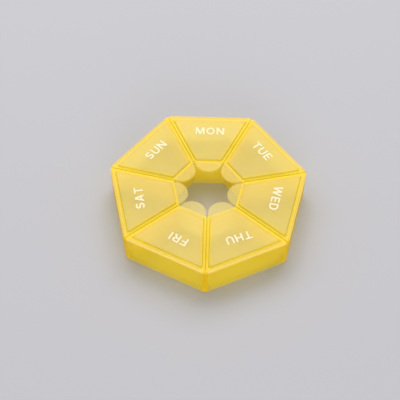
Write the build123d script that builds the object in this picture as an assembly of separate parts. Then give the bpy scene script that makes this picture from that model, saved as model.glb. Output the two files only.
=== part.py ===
from build123d import *

import os
from math import cos, pi, radians, tan

# Weekly pill organizer: a seven sided ring of seven wedge shaped cells round a
# seven sided hole, with one flip lid on each cell. Each lid bends on a thin web
# at the ring's outer edge, and has a thumb tab that reaches over the hole.
#
# Millimetres. The origin is on the ring's axis at its base, +Z is up, and the
# flat of the first day's cell faces +Y. The days follow clockwise from above.

# ---- Driving dimensions -----------------------------------------------------

days = ["mon", "tue", "wed", "thu", "fri", "sat", "sun"]

# Ring, measured at the top of its walls
rim_radius = 50.0  # axis to the sharp corner of the outer wall
tray_height = 16.6  # base to the top of the walls
outer_wall = 1.5
outer_draft = 1.6  # degrees, the outer wall narrows towards the base
corner_round = 3.0  # upright corners of the outer wall
base_round = 0.8  # edge round the base

# Hole through the middle
hole_radius = 17.3  # axis to the sharp corner of the hole
hole_wall = 1.2
hole_draft = 1.6  # degrees, the hole widens towards the base
hole_round = 0.5  # upright corners of the hole

# Cells
partition = 1.5
floor_thickness = 1.2
cell_draft = 1.0  # degrees, each cell narrows towards its floor
cell_round = 1.5  # upright corners of a cell
floor_round = 1.0  # edge round a cell's floor

# Lids
lid_gap = 0.3  # between neighbouring lids
seat_clearance = 0.1  # under a closed lid
flange_thickness = 1.0
flange_edge_round = 0.3
panel_rise = 0.9  # raised panel above the flange
panel_thickness = 1.1
panel_draft = 18.0  # degrees, slope of the panel's step
panel_side_border = 1.2  # flange that shows beside the panel
panel_outer_border = 1.8  # flange that shows between the panel and the hinge
panel_inner_border = 1.0  # flange between the panel and the hole's edge
panel_corner_round = 0.8
panel_edge_round = 0.3

# Skirt under each lid, which drops into the cell
skirt_clearance = 0.25
skirt_thickness = 1.2
skirt_depth = 1.4

# Thumb tab
tab_radius = 7.0
tab_tip = 10.0  # axis to the tab's tip

# Living hinge webs
web_thickness = 0.4
web_free_height = 0.6  # part of the web that bends
web_edge_round = 0.3

# ---- Worked out from them ---------------------------------------------------

side_count = len(days)
half_turn = pi / side_count  # half the angle of one cell, in radians
first_corner = 90.0 + 180.0 / side_count  # degrees, puts a flat towards +Y

rim_flat = rim_radius * cos(half_turn)  # axis to a flat of the outer wall
hole_flat = hole_radius * cos(half_turn)
cell_outer = rim_flat - outer_wall
cell_inner = hole_flat + hole_wall
cell_depth = tray_height - floor_thickness

lid_edge = rim_flat - web_thickness
flange_bottom = tray_height + seat_clearance
flange_top = flange_bottom + flange_thickness
panel_top = flange_top + panel_rise
hinge_height = tray_height + web_free_height / 2


# ---- Outlines, drawn for the cell that faces +Y ------------------------------


def half_width(distance, inset):
    """Half the width of the cell's sector at a distance from the axis, less an inset."""
    return distance * tan(half_turn) - inset / cos(half_turn)


def sector(inner, outer, inset):
    """Trapezium between two distances from the axis, inset from its two neighbours."""
    wide = half_width(outer, inset)
    narrow = half_width(inner, inset)
    corners = [(-narrow, inner), (narrow, inner), (wide, outer), (-wide, outer)]
    return make_face(Polyline(*corners, close=True))


def ring_outline(flat, rounding):
    """Regular outline with its flats at a distance from the axis and round corners."""
    outline = RegularPolygon(flat, side_count, major_radius=False, rotation=first_corner)
    return fillet(outline.vertices(), rounding)


def turned(shape, index):
    """The same shape at another cell, counted clockwise from +Y."""
    return Rot(0, 0, -360.0 * index / side_count) * shape


# ---- Edge choices ------------------------------------------------------------

pick_tolerance = 0.01  # how far an edge may lie from the place that picks it


def upright_edges(solid):
    """Edges that climb more than half of the solid's height."""
    half_height = solid.bounding_box().size.Z / 2
    return solid.edges().filter_by(lambda edge: edge.bounding_box().size.Z > half_height)


def edges_at(edges, axis, place):
    """Those edges that lie at one place along an axis."""
    return edges.filter_by_position(axis, place - pick_tolerance, place + pick_tolerance)


def level_edges(solid, height):
    """Edges that lie at one height."""
    return edges_at(solid.edges(), Axis.Z, height)


# ---- Tray --------------------------------------------------------------------


def drafted_ring(flat_at_top, degrees, height, rounding):
    """Seven sided block whose sides lean by a draft and whose upright corners are round."""
    flat_at_base = flat_at_top - height * tan(radians(degrees))
    base = RegularPolygon(flat_at_base, side_count, major_radius=False, rotation=first_corner)
    block = extrude(base, amount=height, taper=-degrees)
    return fillet(upright_edges(block), rounding)


def cell_space():
    """Hollow of one cell, narrower at its floor, with round corners and a round floor edge."""
    narrowing = cell_depth * tan(radians(cell_draft))
    floor = sector(cell_inner + narrowing, cell_outer - narrowing, partition / 2 + narrowing)
    space = extrude(Pos(0, 0, floor_thickness) * floor, amount=cell_depth, taper=-cell_draft)
    space = fillet(upright_edges(space), cell_round)
    return fillet(level_edges(space, floor_thickness), floor_round)


def make_tray():
    """Floor, outer wall, partitions and the wall round the hole, as one moulding."""
    block = drafted_ring(rim_flat, outer_draft, tray_height, corner_round)
    block = fillet(level_edges(block, 0), base_round)
    block -= drafted_ring(hole_flat, -hole_draft, tray_height, hole_round)
    space = cell_space()
    for index in range(side_count):
        block -= turned(space, index)
    return block


# ---- Lids --------------------------------------------------------------------


def lid_flange():
    """Flat border of a lid with its thumb tab, thinned underneath beside the web."""
    body = sector(hole_flat, lid_edge, lid_gap / 2)
    body &= ring_outline(lid_edge, corner_round - web_thickness)
    tab = Pos(0, tab_tip + tab_radius) * Circle(tab_radius)
    plate = extrude(Pos(0, 0, flange_bottom) * (body + tab), amount=flange_thickness)
    at_web = edges_at(plate.edges().filter_by(Axis.X), Axis.Y, lid_edge)
    plate = chamfer(at_web.sort_by(Axis.Z)[0], web_free_height - seat_clearance)
    rim = level_edges(plate, flange_top)
    rim -= edges_at(rim, Axis.Y, lid_edge)
    return fillet(rim, flange_edge_round)


def lid_panel():
    """Raised panel that stands on the flange, with a sloped step all round."""
    foot = sector(
        hole_flat + panel_inner_border,
        lid_edge - panel_outer_border,
        lid_gap / 2 + panel_side_border,
    )
    foot = fillet(foot.vertices(), panel_corner_round)
    panel = extrude(Pos(0, 0, flange_top) * foot, amount=panel_rise, taper=panel_draft)
    return fillet(level_edges(panel, panel_top), panel_edge_round)


def skirt_outline(inset):
    """Outline inside a cell's mouth, a given distance from its sides."""
    outline = sector(cell_inner + inset, cell_outer - inset, partition / 2 + inset)
    return fillet(outline.vertices(), cell_round)


def make_lid():
    """Flange, tab and raised panel, hollow underneath inside the skirt."""
    skirt_bottom = flange_bottom - skirt_depth
    hollow_depth = panel_top - panel_thickness - skirt_bottom
    skirt = skirt_outline(skirt_clearance)
    hollow = skirt_outline(skirt_clearance + skirt_thickness)
    lid = lid_flange() + lid_panel()
    lid += extrude(Pos(0, 0, skirt_bottom) * skirt, amount=skirt_depth)
    lid -= extrude(Pos(0, 0, skirt_bottom) * hollow, amount=hollow_depth)
    return lid


# ---- Living hinges -----------------------------------------------------------


def make_web():
    """Thin strip from the top of the outer wall to the lid's outer edge."""
    length = 2 * (rim_flat - corner_round) * tan(half_turn)
    height = flange_top - tray_height
    strip = Pos(0, lid_edge + web_thickness / 2, tray_height + height / 2) * Box(
        length, web_thickness, height
    )
    top = level_edges(strip, flange_top).filter_by(Axis.X).sort_by(Axis.Y)[-1]
    return fillet(top, web_edge_round)


# ---- Files -------------------------------------------------------------------


def write(shape, node):
    """One STEP file for each node, named as the node."""
    export_step(shape, os.path.join("parts", node + ".step"))


os.makedirs("parts", exist_ok=True)
print("hinge lines lie", round(rim_flat, 4), "from the axis, at height", round(hinge_height, 4))
write(make_tray(), "tray")
lid_shape = make_lid()
web_shape = make_web()
for number, day in enumerate(days):
    write(turned(lid_shape, number), "lid_" + day)
    write(turned(web_shape, number), "hinge_" + day)
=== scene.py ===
from math import cos, pi, radians, sin

import bpy
from bpy.props import FloatProperty, FloatVectorProperty, IntProperty, PointerProperty
from bpy.types import Operator, Panel, PropertyGroup
from mathutils import Matrix, Vector


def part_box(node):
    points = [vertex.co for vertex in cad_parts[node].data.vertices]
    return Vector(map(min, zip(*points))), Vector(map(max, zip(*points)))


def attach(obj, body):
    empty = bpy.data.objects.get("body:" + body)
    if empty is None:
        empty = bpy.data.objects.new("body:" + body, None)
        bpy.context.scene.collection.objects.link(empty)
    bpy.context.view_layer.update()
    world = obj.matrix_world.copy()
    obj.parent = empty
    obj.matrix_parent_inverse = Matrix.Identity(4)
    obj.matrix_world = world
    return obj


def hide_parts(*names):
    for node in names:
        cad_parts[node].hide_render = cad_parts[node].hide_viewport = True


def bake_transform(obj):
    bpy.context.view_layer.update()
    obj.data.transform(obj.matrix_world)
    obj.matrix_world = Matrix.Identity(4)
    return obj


# Weekly pill organizer in translucent yellow polypropylene: a seven sided ring of
# seven cells, a flip lid on each cell, and the day printed in white on each lid.
# Metres. The origin is on the ring's axis at its base, +Z is up, and the first
# day's flat faces +Y. The days follow clockwise from above.

bl_info = {
    "name": "Weekly pill organizer",
    "version": (1, 0, 0),
    "blender": (4, 5, 0),
    "location": "View3D > Sidebar > Pill organizer",
    "description": "Dresses the seven sided pill organizer and sets up its studio",
    "category": "Object",
}

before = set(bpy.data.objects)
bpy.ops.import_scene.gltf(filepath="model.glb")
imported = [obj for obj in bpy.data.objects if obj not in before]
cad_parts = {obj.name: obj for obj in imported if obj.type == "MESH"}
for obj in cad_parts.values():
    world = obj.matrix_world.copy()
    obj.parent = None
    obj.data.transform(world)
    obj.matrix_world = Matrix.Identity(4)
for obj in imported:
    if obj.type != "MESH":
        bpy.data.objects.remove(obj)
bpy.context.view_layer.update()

DAYS = ("mon", "tue", "wed", "thu", "fri", "sat", "sun")
HALF_TURN = pi / len(DAYS)  # half the angle of one cell, in radians
MM = 0.001

_, tray_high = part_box("tray")
web_low, web_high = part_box("hinge_mon")
_, lid_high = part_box("lid_mon")
RIM_FLAT = web_high.y  # axis to a flat of the outer wall
LID_EDGE = web_low.y  # axis to a lid's outer edge
WALL_TOP = tray_high.z
FLANGE_TOP = web_high.z
PANEL_TOP = lid_high.z

# Sizes inside the tray, which no node's box gives
HOLE_RADIUS = 17.3 * MM  # axis to the sharp corner of the hole
HOLE_WALL = 1.2 * MM
OUTER_WALL = 1.5 * MM
PARTITION = 1.5 * MM
HOLE_FLAT = HOLE_RADIUS * cos(HALF_TURN)  # axis to a flat of the hole, where the tabs start
CELL_INNER = HOLE_FLAT + HOLE_WALL
CELL_OUTER = RIM_FLAT - OUTER_WALL


# ---- Colours and nodes ---------------------------------------------------------


def linear(code):
    """An sRGB hex colour as linear red, green and blue."""
    channels = [int(code[i : i + 2], 16) / 255 for i in (0, 2, 4)]
    return [c / 12.92 if c <= 0.04045 else ((c + 0.055) / 1.055) ** 2.4 for c in channels]


def add_node(tree, kind, inputs=None, **settings):
    """Adds a node, gives it its settings, and sets or links each of its inputs. A node given as
    an input stands for the first of its outputs in use."""
    node = tree.nodes.new(kind)
    for name, value in settings.items():
        setattr(node, name, value)
    for name, value in (inputs or {}).items():
        if isinstance(value, bpy.types.Node):
            value = next(output for output in value.outputs if output.enabled)
        if isinstance(value, bpy.types.NodeSocket):
            tree.links.new(value, node.inputs[name])
        else:
            node.inputs[name].default_value = value
    return node


def empty_material(name):
    """A new material, and its node tree with no nodes in it yet."""
    material = bpy.data.materials.new(name)
    material.use_nodes = True
    material.node_tree.nodes.clear()
    return material, material.node_tree


# ---- What a user would change --------------------------------------------------


class PlasticSettings(PropertyGroup):
    """Colour and finish of the moulded plastic."""

    pale: FloatVectorProperty(
        name="Pale colour",
        description="Colour that thin stretches of the frosted plastic send back",
        subtype="COLOR",
        default=linear("FFEE9C"),
        min=0.0,
        max=1.0,
    )
    # On the lids' steps the deep colour is partly painted shade.
    deep: FloatVectorProperty(
        name="Deep colour",
        description="Colour of edges, steps and thick stretches",
        subtype="COLOR",
        default=linear("FFEB2E"),
        min=0.0,
        max=1.0,
    )
    # Painted glow: this colour and more frost are painted into the tray's upright corners and along
    # its base, standing in for light that gathers there.
    edge: FloatVectorProperty(
        name="Edge colour",
        description="Colour of the upright corners and the base, where light gathers",
        subtype="COLOR",
        default=linear("FFDB14"),
        min=0.0,
        max=1.0,
    )
    tint: FloatVectorProperty(
        name="Tint",
        description="Colour that a long way through the plastic leaves of white light",
        subtype="COLOR",
        default=linear("FFFA6C"),
        min=0.0,
        max=1.0,
    )
    tint_density: FloatProperty(
        name="Tint density",
        description="Strength of the tint, for each metre of plastic",
        default=300.0,
        min=0.0,
    )
    lid_frost: FloatProperty(
        name="Lid frost",
        description="Share of the light that the outer surface of a lid scatters",
        subtype="FACTOR",
        default=0.36,
        min=0.0,
        max=1.0,
    )
    tray_frost: FloatProperty(
        name="Tray frost",
        description="Share of the light that the outer surface of the tray scatters",
        subtype="FACTOR",
        default=0.31,
        min=0.0,
        max=1.0,
    )
    glow: FloatProperty(
        name="Glow",
        description="Share of the scattered light that comes out on the far side",
        subtype="FACTOR",
        default=0.37,
        min=0.0,
        max=1.0,
    )
    roughness: FloatProperty(
        name="Roughness",
        description="Roughness of the moulded surface",
        subtype="FACTOR",
        default=0.3,
        min=0.0,
        max=1.0,
    )


class PrintSettings(PropertyGroup):
    """Size and colour of the printed day names."""

    letter_height: FloatProperty(
        name="Letter height",
        description="Height of the capitals",
        subtype="DISTANCE",
        unit="LENGTH",
        default=4.4 * MM,
        min=1.0 * MM,
        max=8.0 * MM,
    )
    ink_thickness: FloatProperty(
        name="Ink thickness",
        description="How far the ink stands on the panel",
        subtype="DISTANCE",
        unit="LENGTH",
        default=0.03 * MM,
        min=0.01 * MM,
        max=0.1 * MM,
    )
    distance: FloatProperty(
        name="Distance",
        description="From the ring's axis to the middle of the letters",
        subtype="DISTANCE",
        unit="LENGTH",
        default=34.6 * MM,
        min=25.0 * MM,
        max=40.0 * MM,
    )
    ink: FloatVectorProperty(
        name="Ink",
        description="Colour of the printed letters",
        subtype="COLOR",
        default=linear("EADFBE"),
        min=0.0,
        max=1.0,
    )
    ink_cover: FloatProperty(
        name="Ink cover",
        description="Share of the plastic that the thin ink hides",
        subtype="FACTOR",
        default=0.8,
        min=0.0,
        max=1.0,
    )


class HingeSettings(PropertyGroup):
    """Sizes of the webs that the lids bend on."""

    free_height: FloatProperty(
        name="Free height",
        description="Height of the part of each web that bends",
        subtype="DISTANCE",
        unit="LENGTH",
        default=0.6 * MM,
        min=0.2 * MM,
        max=1.0 * MM,
    )
    edge_round: FloatProperty(
        name="Edge rounding",
        description="Radius along the top outer edge of each web",
        subtype="DISTANCE",
        unit="LENGTH",
        default=0.3 * MM,
        min=0.05 * MM,
        max=0.39 * MM,
    )
    rows: IntProperty(
        name="Rows",
        description="Rows of faces over the height of each web, which let it bend",
        default=22,
        min=8,
        max=60,
    )


class StudioSettings(PropertyGroup):
    """Floor, light and camera."""

    floor: FloatVectorProperty(
        name="Floor",
        description="Colour of the floor",
        subtype="COLOR",
        default=linear("AEADB1"),
        min=0.0,
        max=1.0,
    )
    key_power: FloatProperty(
        name="Key light",
        description="Power of the large lamp overhead and behind",
        subtype="POWER",
        unit="POWER",
        default=9.5,
        min=0.0,
    )
    side_power: FloatProperty(
        name="Side light",
        description="Power of the large lamp overhead and to the left",
        subtype="POWER",
        unit="POWER",
        default=4.3,
        min=0.0,
    )
    front_power: FloatProperty(
        name="Front light",
        description="Power of the low lamp in front",
        subtype="POWER",
        unit="POWER",
        default=4.4,
        min=0.0,
    )
    fill: FloatProperty(
        name="Fill light",
        description="Strength of the even light from all round",
        default=0.645,
        min=0.0,
    )


# ---- Materials -----------------------------------------------------------------

PLASTIC_IOR = 1.49  # polypropylene
GRAIN_SIZE = 1.2 * MM  # slight waviness of the moulded surface
GRAIN_DEPTH = 0.003 * MM
GRAIN_STRENGTH = 0.3
FLOW_SIZE = 9 * MM  # faint patches where the melt ran and cooled
FLOW_EDGES = (0.3, 0.7)  # noise values between which one patch passes into the next
ROUGHNESS_SPREAD = 0.08  # share by which the roughness differs from patch to patch
DEPTH_SPREAD = 0.05  # how much the depth of the colour differs
DEEPEST_FROST = 1.3  # frost of the deepest colour, times that of the palest
# Frost of the painted glow in the tray's corners and along its base.
PAINTED_GLOW_FROST = 0.6  # frost where light gathers
WEB_FROST = 1.5  # frost of the webs, times that of the lids
TAB_CLEARER = 0.15  # share of the frost that a thumb tab goes without
UNDERSIDE_CLEARER = 0.5  # share of the frost that a lid goes without underneath

INK_ROUGHNESS = 0.55
SCREEN_MESH = 0.25 * MM  # spacing of the printing screen's threads
SCREEN_MARKS = 0.004 * MM  # how deep the threads mark the ink
SCREEN_STRENGTH = 0.2

# Where the plastic's look changes. Each line has the distance that it follows, one of those that
# cell_distances gives, the two places that the change lies between, and the share at each.
LID_FADES = {
    "past_tab": ("out", HOLE_FLAT - 0.2 * MM, HOLE_FLAT + 0.6 * MM, 0.0, 1.0),
    "skirt": ("inside", 1.4 * MM, 2.0 * MM, 1.0, 0.0),
    "underneath": ("height", FLANGE_TOP - 0.15 * MM, FLANGE_TOP - 0.05 * MM, 1.0, 0.0),
    "side_border": ("inset", 1.4 * MM, 3.0 * MM, 1.0, 0.0),
    # outer_border is deep over the outer wall and pale in the last strip at the lid's edge, a
    # painted highlight along the rim.
    "outer_border": ("out", LID_EDGE - 1.5 * MM, LID_EDGE - 0.3 * MM, 0.85, 0.2),
    "below_panel": ("height", PANEL_TOP - 0.25 * MM, PANEL_TOP - 0.1 * MM, 1.0, 0.0),
    "above_flange": ("height", FLANGE_TOP + 0.02 * MM, FLANGE_TOP + 0.1 * MM, 0.0, 0.65),
    "panel_side": ("inset", 1.6 * MM, 3.8 * MM, 0.6, 0.0),
}
# In the tray, corner and base mark where a brighter glow is painted in with the edge colour.
TRAY_FADES = {
    "walls": ("height", 1.3 * MM, 2.5 * MM, 0.35, 0.85),
    "corner": ("inset", 1.0 * MM, 2.0 * MM, 1.0, 0.0),
    "outside": ("out", RIM_FLAT - 3.5 * MM, RIM_FLAT - 2.5 * MM, 0.0, 1.0),
    "base": ("height", 0.9 * MM, 2.0 * MM, 0.45, 0.0),
    "skin": ("inside", -0.9 * MM, -0.6 * MM, 1.0, 0.0),
    "in_cell": ("inside", -0.35 * MM, -0.15 * MM, 0.0, 1.0),
    "cell_clearer": ("height", 1.6 * MM, 2.6 * MM, 0.6, 0.2),
}
# The webs fade to the pale colour towards their top: a painted highlight along the rim.
WEB_FADES = {"web": ("height", WALL_TOP, FLANGE_TOP, 0.5, 0.1)}


def cell_distances(tree, place):
    """Where a point lies in its cell's sector: how far out from the axis, how far in from the
    nearest side, how high, and how far inside the walls of the cell."""
    axes = add_node(tree, "ShaderNodeSeparateXYZ", {"Vector": place}).outputs
    angle = add_node(tree, "ShaderNodeMath", {0: axes["X"], 1: axes["Y"]}, operation="ARCTAN2")
    turn = add_node(
        tree, "ShaderNodeMath", {0: angle, 1: HALF_TURN, 2: -HALF_TURN}, operation="WRAP"
    )
    x_square = add_node(tree, "ShaderNodeMath", {0: axes["X"], 1: 2.0}, operation="POWER")
    y_square = add_node(tree, "ShaderNodeMath", {0: axes["Y"], 1: 2.0}, operation="POWER")
    squares = add_node(tree, "ShaderNodeMath", {0: x_square, 1: y_square}, operation="ADD")
    reach = add_node(tree, "ShaderNodeMath", {0: squares}, operation="SQRT")
    cosine = add_node(tree, "ShaderNodeMath", {0: turn}, operation="COSINE")
    out = add_node(tree, "ShaderNodeMath", {0: reach, 1: cosine}, operation="MULTIPLY")
    sine = add_node(tree, "ShaderNodeMath", {0: turn}, operation="SINE")
    aside = add_node(tree, "ShaderNodeMath", {0: sine}, operation="ABSOLUTE")
    across = add_node(tree, "ShaderNodeMath", {0: reach, 1: aside}, operation="MULTIPLY")
    # Square to the sector's side: the room from its middle line, and what the point takes of it
    room = add_node(tree, "ShaderNodeMath", {0: out, 1: sin(HALF_TURN)}, operation="MULTIPLY")
    taken = add_node(tree, "ShaderNodeMath", {0: across, 1: cos(HALF_TURN)}, operation="MULTIPLY")
    inset = add_node(tree, "ShaderNodeMath", {0: room, 1: taken}, operation="SUBTRACT")
    to_outer = add_node(tree, "ShaderNodeMath", {0: CELL_OUTER, 1: out}, operation="SUBTRACT")
    to_inner = add_node(tree, "ShaderNodeMath", {0: out, 1: CELL_INNER}, operation="SUBTRACT")
    to_end = add_node(tree, "ShaderNodeMath", {0: to_outer, 1: to_inner}, operation="MINIMUM")
    to_side = add_node(tree, "ShaderNodeMath", {0: inset, 1: PARTITION / 2}, operation="SUBTRACT")
    inside = add_node(tree, "ShaderNodeMath", {0: to_side, 1: to_end}, operation="MINIMUM")
    return {"out": out, "inset": inset, "height": axes["Z"], "inside": inside}


# From the shares of its table, each of the next three gives how deep the colour is, how much
# glow is painted in, and the share of the frost that the plastic goes without.


def lid_look(tree, share):
    """A lid is deep in the skirt, at the steps and along the partitions, pale in the thin panel
    and the thumb tab, and clearer underneath and in the tab."""
    past_tab, below_panel = share["past_tab"], share["below_panel"]
    skirt = add_node(tree, "ShaderNodeMath", {0: share["skirt"], 1: past_tab}, operation="MULTIPLY")
    border = add_node(
        tree,
        "ShaderNodeMath",
        {0: share["side_border"], 1: share["outer_border"]},
        operation="MAXIMUM",
    )
    border = add_node(tree, "ShaderNodeMath", {0: border, 1: below_panel}, operation="MULTIPLY")
    # The step faces get the deep colour all round: partly the plastic's deeper colour, partly
    # painted shade along the steps.
    step = add_node(
        tree, "ShaderNodeMath", {0: share["above_flange"], 1: below_panel}, operation="MULTIPLY"
    )
    panel = add_node(tree, "ShaderNodeMath", {0: step, 1: share["panel_side"]}, operation="MAXIMUM")
    upper = add_node(tree, "ShaderNodeMath", {0: border, 1: panel}, operation="MAXIMUM")
    upper = add_node(tree, "ShaderNodeMath", {0: upper, 1: past_tab}, operation="MULTIPLY")
    depth = add_node(tree, "ShaderNodeMix", {0: share["underneath"], 2: upper, 3: skirt})
    on_tab = add_node(tree, "ShaderNodeMath", {0: 1.0, 1: past_tab}, operation="SUBTRACT")
    tab = add_node(tree, "ShaderNodeMath", {0: on_tab, 1: TAB_CLEARER}, operation="MULTIPLY")
    underside = add_node(
        tree,
        "ShaderNodeMath",
        {0: share["underneath"], 1: UNDERSIDE_CLEARER},
        operation="MULTIPLY",
    )
    clearer = add_node(tree, "ShaderNodeMath", {0: underside, 1: tab}, operation="MAXIMUM")
    return depth, 0.0, clearer


def tray_look(tree, share):
    """The tray is deep in its walls and pale in its floor. A brighter, more orange glow is painted
    into its upright corners outside and along its base, where light would gather, and it is
    clearer inside the cells."""
    corner = add_node(
        tree, "ShaderNodeMath", {0: share["corner"], 1: share["outside"]}, operation="MULTIPLY"
    )
    base = add_node(
        tree, "ShaderNodeMath", {0: share["base"], 1: share["skin"]}, operation="MULTIPLY"
    )
    painted_glow = add_node(tree, "ShaderNodeMath", {0: corner, 1: base}, operation="MAXIMUM")
    depth = add_node(tree, "ShaderNodeMath", {0: share["walls"], 1: painted_glow}, operation="MAXIMUM")
    clearer = add_node(
        tree,
        "ShaderNodeMath",
        {0: share["in_cell"], 1: share["cell_clearer"]},
        operation="MULTIPLY",
    )
    return depth, painted_glow, clearer


def web_look(tree, share):
    """A hinge web is thin, so it is paler than the wall. It is palest at its top, where a highlight
    along the rim is painted in.
    """
    return share["web"], 0.0, 0.0


def polypropylene(name, frost, fades, look_of):
    """Frosted polypropylene, injection moulded: a milky body that scatters part of the light,
    lets the rest through, and gets more yellow the further the light goes through it."""
    settings = bpy.context.scene.pill_plastic
    material, tree = empty_material(name)
    place = add_node(tree, "ShaderNodeTexCoord").outputs["Object"]
    distances = cell_distances(tree, place)
    share = {}
    for part, (distance, start, end, first, last) in fades.items():
        share[part] = add_node(
            tree,
            "ShaderNodeMapRange",
            {
                "Value": distances[distance],
                "From Min": start,
                "From Max": end,
                "To Min": first,
                "To Max": last,
            },
            interpolation_type="SMOOTHSTEP",
        )
    depth, painted_glow, clearer = look_of(tree, share)

    grain = add_node(
        tree, "ShaderNodeTexNoise", {"Vector": place, "Scale": 1 / GRAIN_SIZE, "Detail": 1.0}
    )
    bump = add_node(
        tree,
        "ShaderNodeBump",
        {"Height": grain, "Strength": GRAIN_STRENGTH, "Distance": GRAIN_DEPTH},
    )
    flow = add_node(
        tree, "ShaderNodeTexNoise", {"Vector": place, "Scale": 1 / FLOW_SIZE, "Detail": 2.0}
    )
    patch = add_node(
        tree,
        "ShaderNodeMapRange",
        {"Value": flow, "From Min": FLOW_EDGES[0], "From Max": FLOW_EDGES[1]},
        interpolation_type="SMOOTHSTEP",
    )
    roughness = add_node(
        tree,
        "ShaderNodeMapRange",
        {
            "Value": patch,
            "To Min": settings.roughness * (1 - ROUGHNESS_SPREAD),
            "To Max": settings.roughness * (1 + ROUGHNESS_SPREAD),
        },
        interpolation_type="SMOOTHSTEP",
    )
    shift = add_node(
        tree,
        "ShaderNodeMapRange",
        {"Value": patch, "To Min": -DEPTH_SPREAD, "To Max": DEPTH_SPREAD},
        interpolation_type="SMOOTHSTEP",
    )
    depth = add_node(tree, "ShaderNodeMath", {0: depth, 1: shift}, operation="ADD", use_clamp=True)
    body = add_node(
        tree,
        "ShaderNodeMapRange",
        {"Value": depth, "To Min": frost, "To Max": frost * DEEPEST_FROST},
        interpolation_type="SMOOTHSTEP",
    )
    # Painted glow: the tray's corners and base get the edge colour and more frost.
    cover = add_node(tree, "ShaderNodeMix", {0: painted_glow, 2: body, 3: PAINTED_GLOW_FROST})
    cover = add_node(tree, "ShaderNodeMix", {0: clearer, 2: cover, 3: 0.0})
    colour = add_node(
        tree,
        "ShaderNodeMix",
        {0: depth, 6: (*settings.pale, 1), 7: (*settings.deep, 1)},
        data_type="RGBA",
    )
    colour = add_node(
        tree, "ShaderNodeMix", {0: painted_glow, 6: colour, 7: (*settings.edge, 1)}, data_type="RGBA"
    )
    front = add_node(
        tree,
        "ShaderNodeBsdfPrincipled",
        {"Base Color": colour, "Roughness": roughness, "IOR": PLASTIC_IOR, "Normal": bump},
    )
    behind = add_node(tree, "ShaderNodeBsdfTranslucent", {"Color": colour})
    milk = add_node(tree, "ShaderNodeMixShader", {0: settings.glow, 1: front, 2: behind})
    clear = add_node(tree, "ShaderNodeBsdfTransparent")
    haze = add_node(tree, "ShaderNodeMixShader", {0: cover, 1: clear, 2: milk})
    tint = add_node(
        tree,
        "ShaderNodeVolumeAbsorption",
        {"Color": (*settings.tint, 1), "Density": settings.tint_density},
    )
    add_node(tree, "ShaderNodeOutputMaterial", {"Surface": haze, "Volume": tint})
    return material


def screen_ink():
    """White screen printing ink: matt, and thin enough for the yellow plastic to show through."""
    settings = bpy.context.scene.pill_print
    material, tree = empty_material("white screen ink")
    place = add_node(tree, "ShaderNodeTexCoord").outputs["Object"]
    threads = add_node(
        tree, "ShaderNodeTexNoise", {"Vector": place, "Scale": 1 / SCREEN_MESH, "Detail": 1.0}
    )
    bump = add_node(
        tree,
        "ShaderNodeBump",
        {"Height": threads, "Strength": SCREEN_STRENGTH, "Distance": SCREEN_MARKS},
    )
    ink = add_node(
        tree,
        "ShaderNodeBsdfPrincipled",
        {"Base Color": (*settings.ink, 1), "Roughness": INK_ROUGHNESS, "Normal": bump},
    )
    clear = add_node(tree, "ShaderNodeBsdfTransparent")
    layer = add_node(tree, "ShaderNodeMixShader", {0: settings.ink_cover, 1: clear, 2: ink})
    add_node(tree, "ShaderNodeOutputMaterial", {"Surface": layer})
    return material


def dress(name, material):
    """Gives a CAD node one material."""
    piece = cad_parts[name]
    piece.data.materials.clear()
    piece.data.materials.append(material)


def turned(index):
    """Turn about the ring's axis from the first day to another, clockwise from above."""
    return Matrix.Rotation(-2 * HALF_TURN * index, 4, "Z")


# ---- Hinge webs ----------------------------------------------------------------

WEB_LAYERS = 4  # rows of points through a web's thickness


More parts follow.
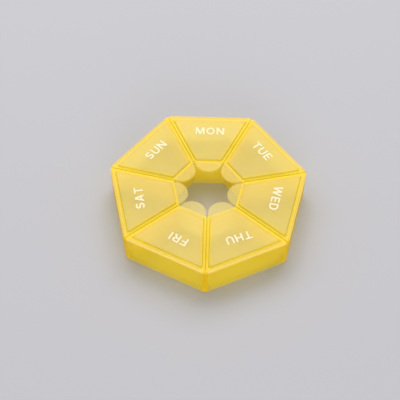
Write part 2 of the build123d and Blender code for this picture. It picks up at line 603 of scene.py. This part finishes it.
def web_tree(material):
    """Geometry nodes for one web: a thin block of rows, rounded along its top outer edge."""
    tree = bpy.data.node_groups.new("hinge web", "GeometryNodeTree")
    sizes = ("Length", "Thickness", "Height", "Edge round", "Distance", "Foot", "Turn")
    tree.interface.new_socket("Geometry", in_out="OUTPUT", socket_type="NodeSocketGeometry")
    tree.interface.new_socket("Rows", in_out="INPUT", socket_type="NodeSocketInt")
    for size in sizes:
        tree.interface.new_socket(size, in_out="INPUT", socket_type="NodeSocketFloat")
    given = add_node(tree, "NodeGroupInput").outputs
    height, thickness, edge_round = given["Height"], given["Thickness"], given["Edge round"]

    size = add_node(
        tree, "ShaderNodeCombineXYZ", {"X": given["Length"], "Y": thickness, "Z": height}
    )
    block = add_node(
        tree,
        "GeometryNodeMeshCube",
        {"Size": size, "Vertices X": 2, "Vertices Y": WEB_LAYERS, "Vertices Z": given["Rows"]},
    )
    # Near the top, the outer face is drawn in along a quarter circle.
    spot = add_node(tree, "GeometryNodeInputPosition")
    axes = add_node(tree, "ShaderNodeSeparateXYZ", {"Vector": spot}).outputs
    half_height = add_node(tree, "ShaderNodeMath", {0: height, 1: 0.5}, operation="MULTIPLY")
    half_thick = add_node(tree, "ShaderNodeMath", {0: thickness, 1: 0.5}, operation="MULTIPLY")
    below_top = add_node(
        tree, "ShaderNodeMath", {0: half_height, 1: axes["Z"]}, operation="SUBTRACT"
    )
    above_foot = add_node(
        tree, "ShaderNodeMath", {0: edge_round, 1: below_top}, operation="SUBTRACT"
    )
    rise = add_node(tree, "ShaderNodeMath", {0: above_foot, 1: 0.0}, operation="MAXIMUM")
    rise_square = add_node(tree, "ShaderNodeMath", {0: rise, 1: rise}, operation="MULTIPLY")
    square = add_node(
        tree, "ShaderNodeMath", {0: edge_round, 1: edge_round}, operation="MULTIPLY"
    )
    rest = add_node(tree, "ShaderNodeMath", {0: square, 1: rise_square}, operation="SUBTRACT")
    reach = add_node(tree, "ShaderNodeMath", {0: rest}, operation="SQRT")
    drawn_in = add_node(tree, "ShaderNodeMath", {0: edge_round, 1: reach}, operation="SUBTRACT")
    limit = add_node(tree, "ShaderNodeMath", {0: half_thick, 1: drawn_in}, operation="SUBTRACT")
    outward = add_node(tree, "ShaderNodeMath", {0: axes["Y"], 1: limit}, operation="MINIMUM")
    shifted = add_node(
        tree, "ShaderNodeCombineXYZ", {"X": axes["X"], "Y": outward, "Z": axes["Z"]}
    )
    rounded = add_node(tree, "GeometryNodeSetPosition", {"Geometry": block, "Position": shifted})

    middle = add_node(
        tree, "ShaderNodeMath", {0: given["Distance"], 1: half_thick}, operation="SUBTRACT"
    )
    level = add_node(tree, "ShaderNodeMath", {0: given["Foot"], 1: half_height}, operation="ADD")
    place = add_node(tree, "ShaderNodeCombineXYZ", {"Y": middle, "Z": level})
    placed = add_node(tree, "GeometryNodeTransform", {"Geometry": rounded, "Translation": place})
    turn = add_node(tree, "ShaderNodeCombineXYZ", {"Z": given["Turn"]})
    swung = add_node(tree, "GeometryNodeTransform", {"Geometry": placed, "Rotation": turn})
    real = add_node(tree, "GeometryNodeRealizeInstances", {"Geometry": swung})
    painted = add_node(tree, "GeometryNodeSetMaterial", {"Geometry": real, "Material": material})
    add_node(tree, "NodeGroupOutput", {"Geometry": painted})
    return tree


def mesh_from_tree(name, tree, values):
    """A plain mesh object from a geometry nodes tree with these inputs."""
    carrier = bpy.data.objects.new(name + "_carrier", bpy.data.meshes.new(name + "_carrier"))
    bpy.context.scene.collection.objects.link(carrier)
    modifier = carrier.modifiers.new("nodes", "NODES")
    modifier.node_group = tree
    for item in tree.interface.items_tree:
        if item.in_out == "INPUT" and item.name in values:
            modifier[item.identifier] = values[item.name]
    graph = bpy.context.evaluated_depsgraph_get()
    mesh = bpy.data.meshes.new_from_object(carrier.evaluated_get(graph))
    bpy.data.objects.remove(carrier)
    mesh.name = name
    piece = bpy.data.objects.new(name, mesh)
    bpy.context.scene.collection.objects.link(piece)
    return piece


# ---- Printed names -------------------------------------------------------------

# How far each word is printed off the middle of its lid, in millimetres clockwise and
# outwards, and its tilt in degrees.
OFF_REGISTER = {
    "mon": (0.2, 0.4, 0.0),
    "tue": (-1.4, 0.5, 0.0),
    "wed": (-1.6, -1.0, 0.0),
    "thu": (-1.0, -1.2, -4.0),
    "fri": (-1.8, -0.6, -2.0),
    "sat": (-0.5, -0.6, -3.5),
    "sun": (0.5, -0.2, 0.0),
}
INK_BITE = 0.02 * MM  # how far the ink keys into the panel

# Bold capitals as closed outlines, one unit high. An outline inside another is a hole.
STEM = 0.19  # width of the upright strokes
BAR = 0.165  # height of the level strokes
LETTER_GAP = 0.2  # between neighbouring letters


def arc(middle, radii, start, end, steps=10):
    """Points along part of an ellipse, between two angles in degrees."""
    angles = [radians(start + (end - start) * step / steps) for step in range(steps + 1)]
    return [(middle[0] + radii[0] * cos(a), middle[1] + radii[1] * sin(a)) for a in angles]


def stroked(path, width):
    """Outline of a stroke of even width along a path of points."""
    sides = ([], [])
    for index, (x, y) in enumerate(path):
        before = Vector(path[max(index - 1, 0)])
        after = Vector(path[min(index + 1, len(path) - 1)])
        across = (after - before).orthogonal().normalized() * (width / 2)
        sides[0].append((x + across.x, y + across.y))
        sides[1].append((x - across.x, y - across.y))
    return sides[0] + sides[1][::-1]


def capital(letter):
    """The outlines of one bold capital."""
    top, mid = 1 - BAR, 0.5 - BAR / 2
    if letter == "A":
        legs = [(0, 0), (0.22, 0), (0.28, 0.2), (0.62, 0.2), (0.68, 0), (0.9, 0)]
        return [[*legs, (0.56, 1), (0.34, 1)], [(0.34, 0.37), (0.56, 0.37), (0.45, 0.72)]]
    if letter == "D":
        outer = [(0, 0), *arc((0.4, 0.5), (0.46, 0.5), -90, 90), (0, 1)]
        inner = [(STEM, BAR), *arc((0.38, 0.5), (0.27, 0.5 - BAR), -90, 90), (STEM, top)]
        return [outer, inner]
    if letter == "E":
        upper = [(STEM, mid + BAR), (STEM, top), (0.7, top), (0.7, 1), (0, 1)]
        lower = [(0, 0), (0.7, 0), (0.7, BAR), (STEM, BAR), (STEM, mid)]
        return [[*lower, (0.64, mid), (0.64, mid + BAR), *upper]]
    if letter == "F":
        upper = [(STEM, mid + BAR), (STEM, top), (0.68, top), (0.68, 1), (0, 1)]
        return [[(0, 0), (STEM, 0), (STEM, mid), (0.62, mid), (0.62, mid + BAR), *upper]]
    if letter == "H":
        right = [(0.64, mid), (0.64, 0), (0.84, 0), (0.84, 1), (0.64, 1), (0.64, mid + BAR)]
        return [[(0, 0), (STEM, 0), (STEM, mid), *right, (STEM, mid + BAR), (STEM, 1), (0, 1)]]
    if letter == "I":
        return [[(0, 0), (STEM, 0), (STEM, 1), (0, 1)]]
    if letter == "M":
        left = [(0, 0), (STEM, 0), (STEM, 0.62), (0.42, 0)]
        right = [(0.6, 0), (1.02 - STEM, 0.62), (1.02 - STEM, 0), (1.02, 0), (1.02, 1), (0.76, 1)]
        return [[*left, *right, (0.51, 0.36), (0.26, 1), (0, 1)]]
    if letter == "N":
        right = [(0.65, 0), (0.87, 0), (0.87, 1), (0.87 - STEM, 1), (0.87 - STEM, 0.34)]
        return [[(0, 0), (STEM, 0), (STEM, 0.66), *right, (0.22, 1), (0, 1)]]
    if letter == "O":
        middle = (0.49, 0.5)
        return [arc(middle, (0.49, 0.51), 0, 351, 39), arc(middle, (0.29, 0.33), 0, 351, 39)]
    if letter == "R":
        leg = [(0, 0), (STEM, 0), (STEM, 0.38), (0.36, 0.38), (0.58, 0), (0.82, 0), (0.58, 0.4)]
        outer = [*leg, *arc((0.46, 0.69), (0.31, 0.31), -60, 90), (0, 1)]
        inner = [(STEM, 0.55), *arc((0.44, 0.69), (0.13, 0.14), -90, 90), (STEM, 0.83)]
        return [outer, inner]
    if letter == "S":
        upper = arc((0.39, 0.71), (0.28, 0.2), 25, 270, 14)
        lower = arc((0.39, 0.3), (0.29, 0.21), 90, -155, 14)
        return [stroked(upper + lower[1:], STEM)]
    if letter == "T":
        right = [(0.4 + STEM / 2, 0), (0.4 + STEM / 2, top), (0.8, top), (0.8, 1)]
        return [[(0.4 - STEM / 2, 0), *right, (0, 1), (0, top), (0.4 - STEM / 2, top)]]
    if letter == "U":
        outer = arc((0.42, 0.4), (0.42, 0.41), 180, 360)
        inner = arc((0.42, 0.4), (0.42 - STEM, 0.41 - BAR), 360, 180)
        return [[(0, 1), *outer, (0.84, 1), (0.84 - STEM, 1), *inner, (STEM, 1)]]
    if letter == "W":
        left = [(0, 1), (0.26, 0), (0.47, 0), (0.65, 0.62), (0.83, 0), (1.04, 0), (1.3, 1)]
        return [[*left, (1.09, 1), (0.93, 0.36), (0.75, 1), (0.55, 1), (0.37, 0.36), (0.21, 1)]]
    raise ValueError("no outline for the letter " + letter)


def printed_word(word, height, thickness, material):
    """A word in bold capitals, flat, with its middle at the origin and its underside at z 0."""
    print_curve = bpy.data.curves.new("print " + word, "CURVE")
    print_curve.dimensions = "2D"
    print_curve.fill_mode = "BOTH"
    print_curve.extrude = 0.5
    start = 0.0
    for letter in word:
        outlines = capital(letter)
        for outline in outlines:
            spline = print_curve.splines.new("POLY")
            spline.points.add(len(outline) - 1)
            for point, (x, y) in zip(spline.points, outline):
                point.co = (start + x, y, 0, 1)
            spline.use_cyclic_u = True
        start += max(x for outline in outlines for x, _ in outline) + LETTER_GAP
    carrier = bpy.data.objects.new("print carrier", print_curve)
    bpy.context.scene.collection.objects.link(carrier)
    graph = bpy.context.evaluated_depsgraph_get()
    mesh = bpy.data.meshes.new_from_object(carrier.evaluated_get(graph))
    bpy.data.objects.remove(carrier)
    width = start - LETTER_GAP
    mesh.transform(Matrix.Translation((-width / 2, -0.5, 0.5)))
    mesh.transform(Matrix.Diagonal((height, height, thickness, 1)))
    mesh.materials.clear()
    mesh.materials.append(material)
    return mesh


# ---- Studio --------------------------------------------------------------------

FLOOR_REACH = 1.5  # metres from the ring's axis to the floor's edge
FLOOR_DROP = 0.02 * MM  # from the tray's base down to the floor, so that they never coincide
PAPER_ROUGHNESS = 0.9
PAPER_SHINE = 0.1
SURFACES_CROSSED = 40  # most see-through surfaces that one ray may cross

# Each lamp's place, and the width of its square, in metres. All are turned to the ring.
LAMPS = {
    "key": ((0.12, 0.68, 1.02), 0.9),
    "side": ((-0.5, 0.45, 1.05), 0.8),
    "front": ((0.1, -1.0, 0.3), 0.6),
}

# The photograph's view, from a camera fitted to the ring's outline in it
PICTURE = 400.0  # width and height, in pixels
FOCAL_LENGTH = 1151.25  # in pixels
CAMERA_REACH = 576.9 * MM  # from the origin
CAMERA_RAISED = radians(54.5)  # above the floor
CAMERA_SWUNG = radians(0.495)  # round the axis, anticlockwise from above
CAMERA_ROLL = radians(1.11)
ORIGIN_SHOWS = (207.44, 208.61)  # in pixels, right and down from the top left corner
SENSOR_WIDTH = 36.0  # in millimetres
CLIP_START = 10 * MM


def lay_floor(settings):
    """Matt paper, pale and smooth, which shows soft shadows and no reflections. It isn't part
    of the object."""
    material, tree = empty_material("matt paper floor")
    paper = add_node(
        tree,
        "ShaderNodeBsdfPrincipled",
        {
            "Base Color": (*settings.floor, 1),
            "Roughness": PAPER_ROUGHNESS,
            "Specular IOR Level": PAPER_SHINE,
        },
    )
    add_node(tree, "ShaderNodeOutputMaterial", {"Surface": paper})
    mesh = bpy.data.meshes.new("floor")
    corners = [(-1, -1), (1, -1), (1, 1), (-1, 1)]
    points = [(x * FLOOR_REACH, y * FLOOR_REACH, -FLOOR_DROP) for x, y in corners]
    mesh.from_pydata(points, [], [(0, 1, 2, 3)])
    mesh.materials.append(material)
    floor = bpy.data.objects.new("floor", mesh)
    bpy.context.scene.collection.objects.link(floor)


def hang_lamp(name, place, width, power):
    """A square soft lamp at a place, turned towards the origin."""
    lamp = bpy.data.lights.new(name, "AREA")
    lamp.shape = "SQUARE"
    lamp.size = width
    lamp.energy = power
    holder = bpy.data.objects.new(name, lamp)
    bpy.context.scene.collection.objects.link(holder)
    turn = (-Vector(place)).to_track_quat("-Z", "Y").to_matrix().to_4x4()
    holder.matrix_world = Matrix.Translation(place) @ turn


def hang_lights(settings):
    """A large soft lamp overhead and behind, weaker ones overhead to the left and low in front,
    and even light from all round."""
    powers = {"key": settings.key_power, "side": settings.side_power, "front": settings.front_power}
    for name, (place, width) in LAMPS.items():
        hang_lamp(name, place, width, powers[name])
    world = bpy.data.worlds.new("even light")
    world.use_nodes = True
    world.node_tree.nodes.clear()
    sky = add_node(
        world.node_tree,
        "ShaderNodeBackground",
        {"Color": (1, 1, 1, 1), "Strength": settings.fill},
    )
    add_node(world.node_tree, "ShaderNodeOutputWorld", {"Surface": sky})
    bpy.context.scene.world = world


def place_camera():
    """The camera at the photograph's viewing angle, turned so that the origin shows where the
    photograph has it."""
    right = Vector((1, 0, 0))
    ahead = Vector((0, cos(CAMERA_RAISED), -sin(CAMERA_RAISED)))
    down = Vector((0, -sin(CAMERA_RAISED), -cos(CAMERA_RAISED)))
    place = -ahead * CAMERA_REACH
    level, plumb = right, down
    right = level * cos(CAMERA_ROLL) - plumb * sin(CAMERA_ROLL)
    down = level * sin(CAMERA_ROLL) + plumb * cos(CAMERA_ROLL)
    off = (Vector((PICTURE / 2, PICTURE / 2)) - Vector(ORIGIN_SHOWS)) / FOCAL_LENGTH
    ahead = (ahead + right * off.x + down * off.y).normalized()
    right = (right - ahead * right.dot(ahead)).normalized()
    up = right.cross(ahead)
    turn = Matrix((right, up, -ahead)).transposed().to_4x4()
    swing = Matrix.Rotation(CAMERA_SWUNG, 4, "Z")
    camera = bpy.data.cameras.new("camera")
    camera.sensor_width = SENSOR_WIDTH
    camera.lens = SENSOR_WIDTH * FOCAL_LENGTH / PICTURE
    camera.clip_start = CLIP_START
    holder = bpy.data.objects.new("camera", camera)
    bpy.context.scene.collection.objects.link(holder)
    holder.matrix_world = swing @ Matrix.Translation(place) @ turn
    bpy.context.scene.camera = holder


# ---- Operators -----------------------------------------------------------------


class MouldTray(Operator):
    """Give the tray its frosted polypropylene"""

    bl_idname = "pillbox.mould_tray"
    bl_label = "Mould tray"

    def execute(self, context):
        settings = context.scene.pill_plastic
        material = polypropylene(
            "frosted polypropylene, tray", settings.tray_frost, TRAY_FADES, tray_look
        )
        dress("tray", material)
        return {"FINISHED"}


class MouldLids(Operator):
    """Give the seven flip lids their frosted polypropylene"""

    bl_idname = "pillbox.mould_lids"
    bl_label = "Mould lids"

    def execute(self, context):
        settings = context.scene.pill_plastic
        material = polypropylene(
            "frosted polypropylene, lids", settings.lid_frost, LID_FADES, lid_look
        )
        for day in DAYS:
            dress("lid_" + day, material)
        return {"FINISHED"}


class BendHinges(Operator):
    """Make the seven living hinge webs, which bend between the tray and the lids"""

    bl_idname = "pillbox.bend_hinges"
    bl_label = "Bend hinges"

    def execute(self, context):
        settings = context.scene.pill_hinge
        frost = WEB_FROST * context.scene.pill_plastic.lid_frost
        material = polypropylene("frosted polypropylene, hinge webs", frost, WEB_FADES, web_look)
        tree = web_tree(material)
        sizes = {
            "Rows": settings.rows,
            "Length": web_high.x - web_low.x,
            "Thickness": RIM_FLAT - LID_EDGE,
            "Height": FLANGE_TOP - WALL_TOP,
            "Edge round": settings.edge_round,
            "Distance": RIM_FLAT,
            "Foot": WALL_TOP,
        }
        for index, day in enumerate(DAYS):
            web = mesh_from_tree(
                "living_hinge_" + day, tree, {**sizes, "Turn": -2 * HALF_TURN * index}
            )
            if not web.data.polygons:
                raise RuntimeError("the web of " + day + " came out empty")
            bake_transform(web)
            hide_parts("hinge_" + day)
        return {"FINISHED"}


class PrintDays(Operator):
    """Print the day on each lid in white"""

    bl_idname = "pillbox.print_days"
    bl_label = "Print days"

    def execute(self, context):
        settings = context.scene.pill_print
        material = screen_ink()
        for index, day in enumerate(DAYS):
            mesh = printed_word(
                day.upper(), settings.letter_height, settings.ink_thickness + INK_BITE, material
            )
            if not mesh.polygons:
                raise RuntimeError("the print of " + day + " came out empty")
            aside, outward, tilt = OFF_REGISTER[day]
            place = (aside * MM, settings.distance + outward * MM, PANEL_TOP - INK_BITE)
            mesh.transform(Matrix.Rotation(radians(tilt), 4, "Z"))
            mesh.transform(Matrix.Translation(place))
            mesh.transform(turned(index))
            word = bpy.data.objects.new("print_" + day, mesh)
            context.scene.collection.objects.link(word)
            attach(word, "lid_" + day)
        return {"FINISHED"}


class SetUpStudio(Operator):
    """Set up the pale floor, the soft lights and the camera"""

    bl_idname = "pillbox.set_up_studio"
    bl_label = "Set up studio"

    def execute(self, context):
        settings = context.scene.pill_studio
        lay_floor(settings)
        hang_lights(settings)
        place_camera()
        context.scene.view_settings.view_transform = "Standard"
        context.scene.cycles.transparent_max_bounces = SURFACES_CROSSED
        return {"FINISHED"}


# ---- Panel and registration ----------------------------------------------------


class PillOrganizerPanel(Panel):
    """The organizer's settings and steps"""

    bl_idname = "VIEW3D_PT_pill_organizer"
    bl_label = "Pill organizer"
    bl_space_type = "VIEW_3D"
    bl_region_type = "UI"
    bl_category = "Pill organizer"

    def draw(self, context):
        for name in GROUPS:
            group = getattr(context.scene, name)
            box = self.layout.box()
            for setting in group.__annotations__:
                box.prop(group, setting)
        for step in STEPS:
            self.layout.operator(step.bl_idname)


GROUPS = {
    "pill_plastic": PlasticSettings,
    "pill_print": PrintSettings,
    "pill_hinge": HingeSettings,
    "pill_studio": StudioSettings,
}
STEPS = (MouldTray, MouldLids, BendHinges, PrintDays, SetUpStudio)


def register():
    """Adds the settings, the operators and the panel to Blender."""
    for name, group in GROUPS.items():
        bpy.utils.register_class(group)
        setattr(bpy.types.Scene, name, PointerProperty(type=group))
    for step in STEPS:
        bpy.utils.register_class(step)
    bpy.utils.register_class(PillOrganizerPanel)


def unregister():
    """Takes them out again, in the opposite order."""
    bpy.utils.unregister_class(PillOrganizerPanel)
    for step in reversed(STEPS):
        bpy.utils.unregister_class(step)
    for name, group in reversed(GROUPS.items()):
        delattr(bpy.types.Scene, name)
        bpy.utils.unregister_class(group)


def main():
    """Builds everything in order."""
    register()
    bpy.ops.pillbox.mould_tray()
    bpy.ops.pillbox.mould_lids()
    bpy.ops.pillbox.bend_hinges()
    bpy.ops.pillbox.print_days()
    bpy.ops.pillbox.set_up_studio()


if __name__ == "__main__":
    main()
